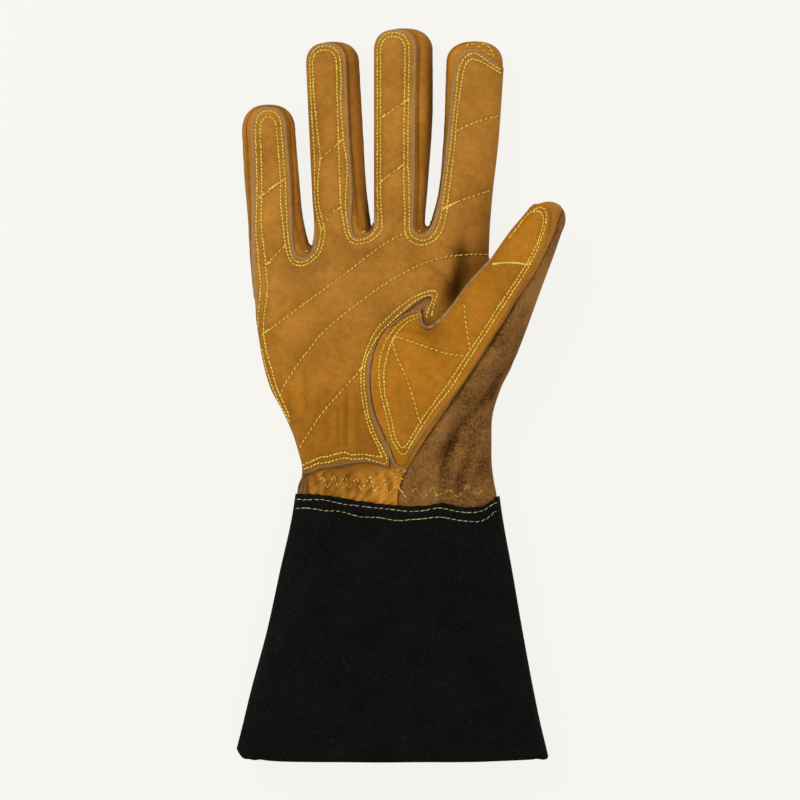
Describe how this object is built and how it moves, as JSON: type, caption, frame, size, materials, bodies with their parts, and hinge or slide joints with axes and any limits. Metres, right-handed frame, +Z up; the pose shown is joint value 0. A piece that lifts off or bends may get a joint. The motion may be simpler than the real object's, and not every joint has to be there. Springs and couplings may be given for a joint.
{
  "type": "heat resistant leather glove",
  "caption": "Right-hand leather work glove with a reinforced, quilted palm overlay, suede back and a flared black gauntlet cuff, lying palm up",
  "frame": {"origin": "on the resting plane under the middle of the glove's length and width", "axes": "+Y from the cuff's mouth to the fingertips, +X towards the thumb, +Z up out of the palm; the back of the glove lies on z = 0"},
  "size_m": [0.1565, 0.3489, 0.0432],
  "materials": {
    "tan_grain": "fine full grain, satin",
    "golden_grain": "full grain, satin, slightly waxy",
    "gusset": "grain leather strips, satin",
    "suede": "split suede, matt nap",
    "black_split": "split leather, matt"
  },
  "bodies": {
    "root": {"palm_front": "golden_grain", "palm_patch": "tan_grain", "thumb_front": "golden_grain", "thumb_patch": "tan_grain", "thumb_back": "suede", "back_panel": "suede", "little_finger_side": "gusset", "fourchette_little_ring": "gusset", "fourchette_ring_middle": "gusset", "fourchette_middle_index": "gusset", "cuff": "black_split"}
  },
  "joints": []
}
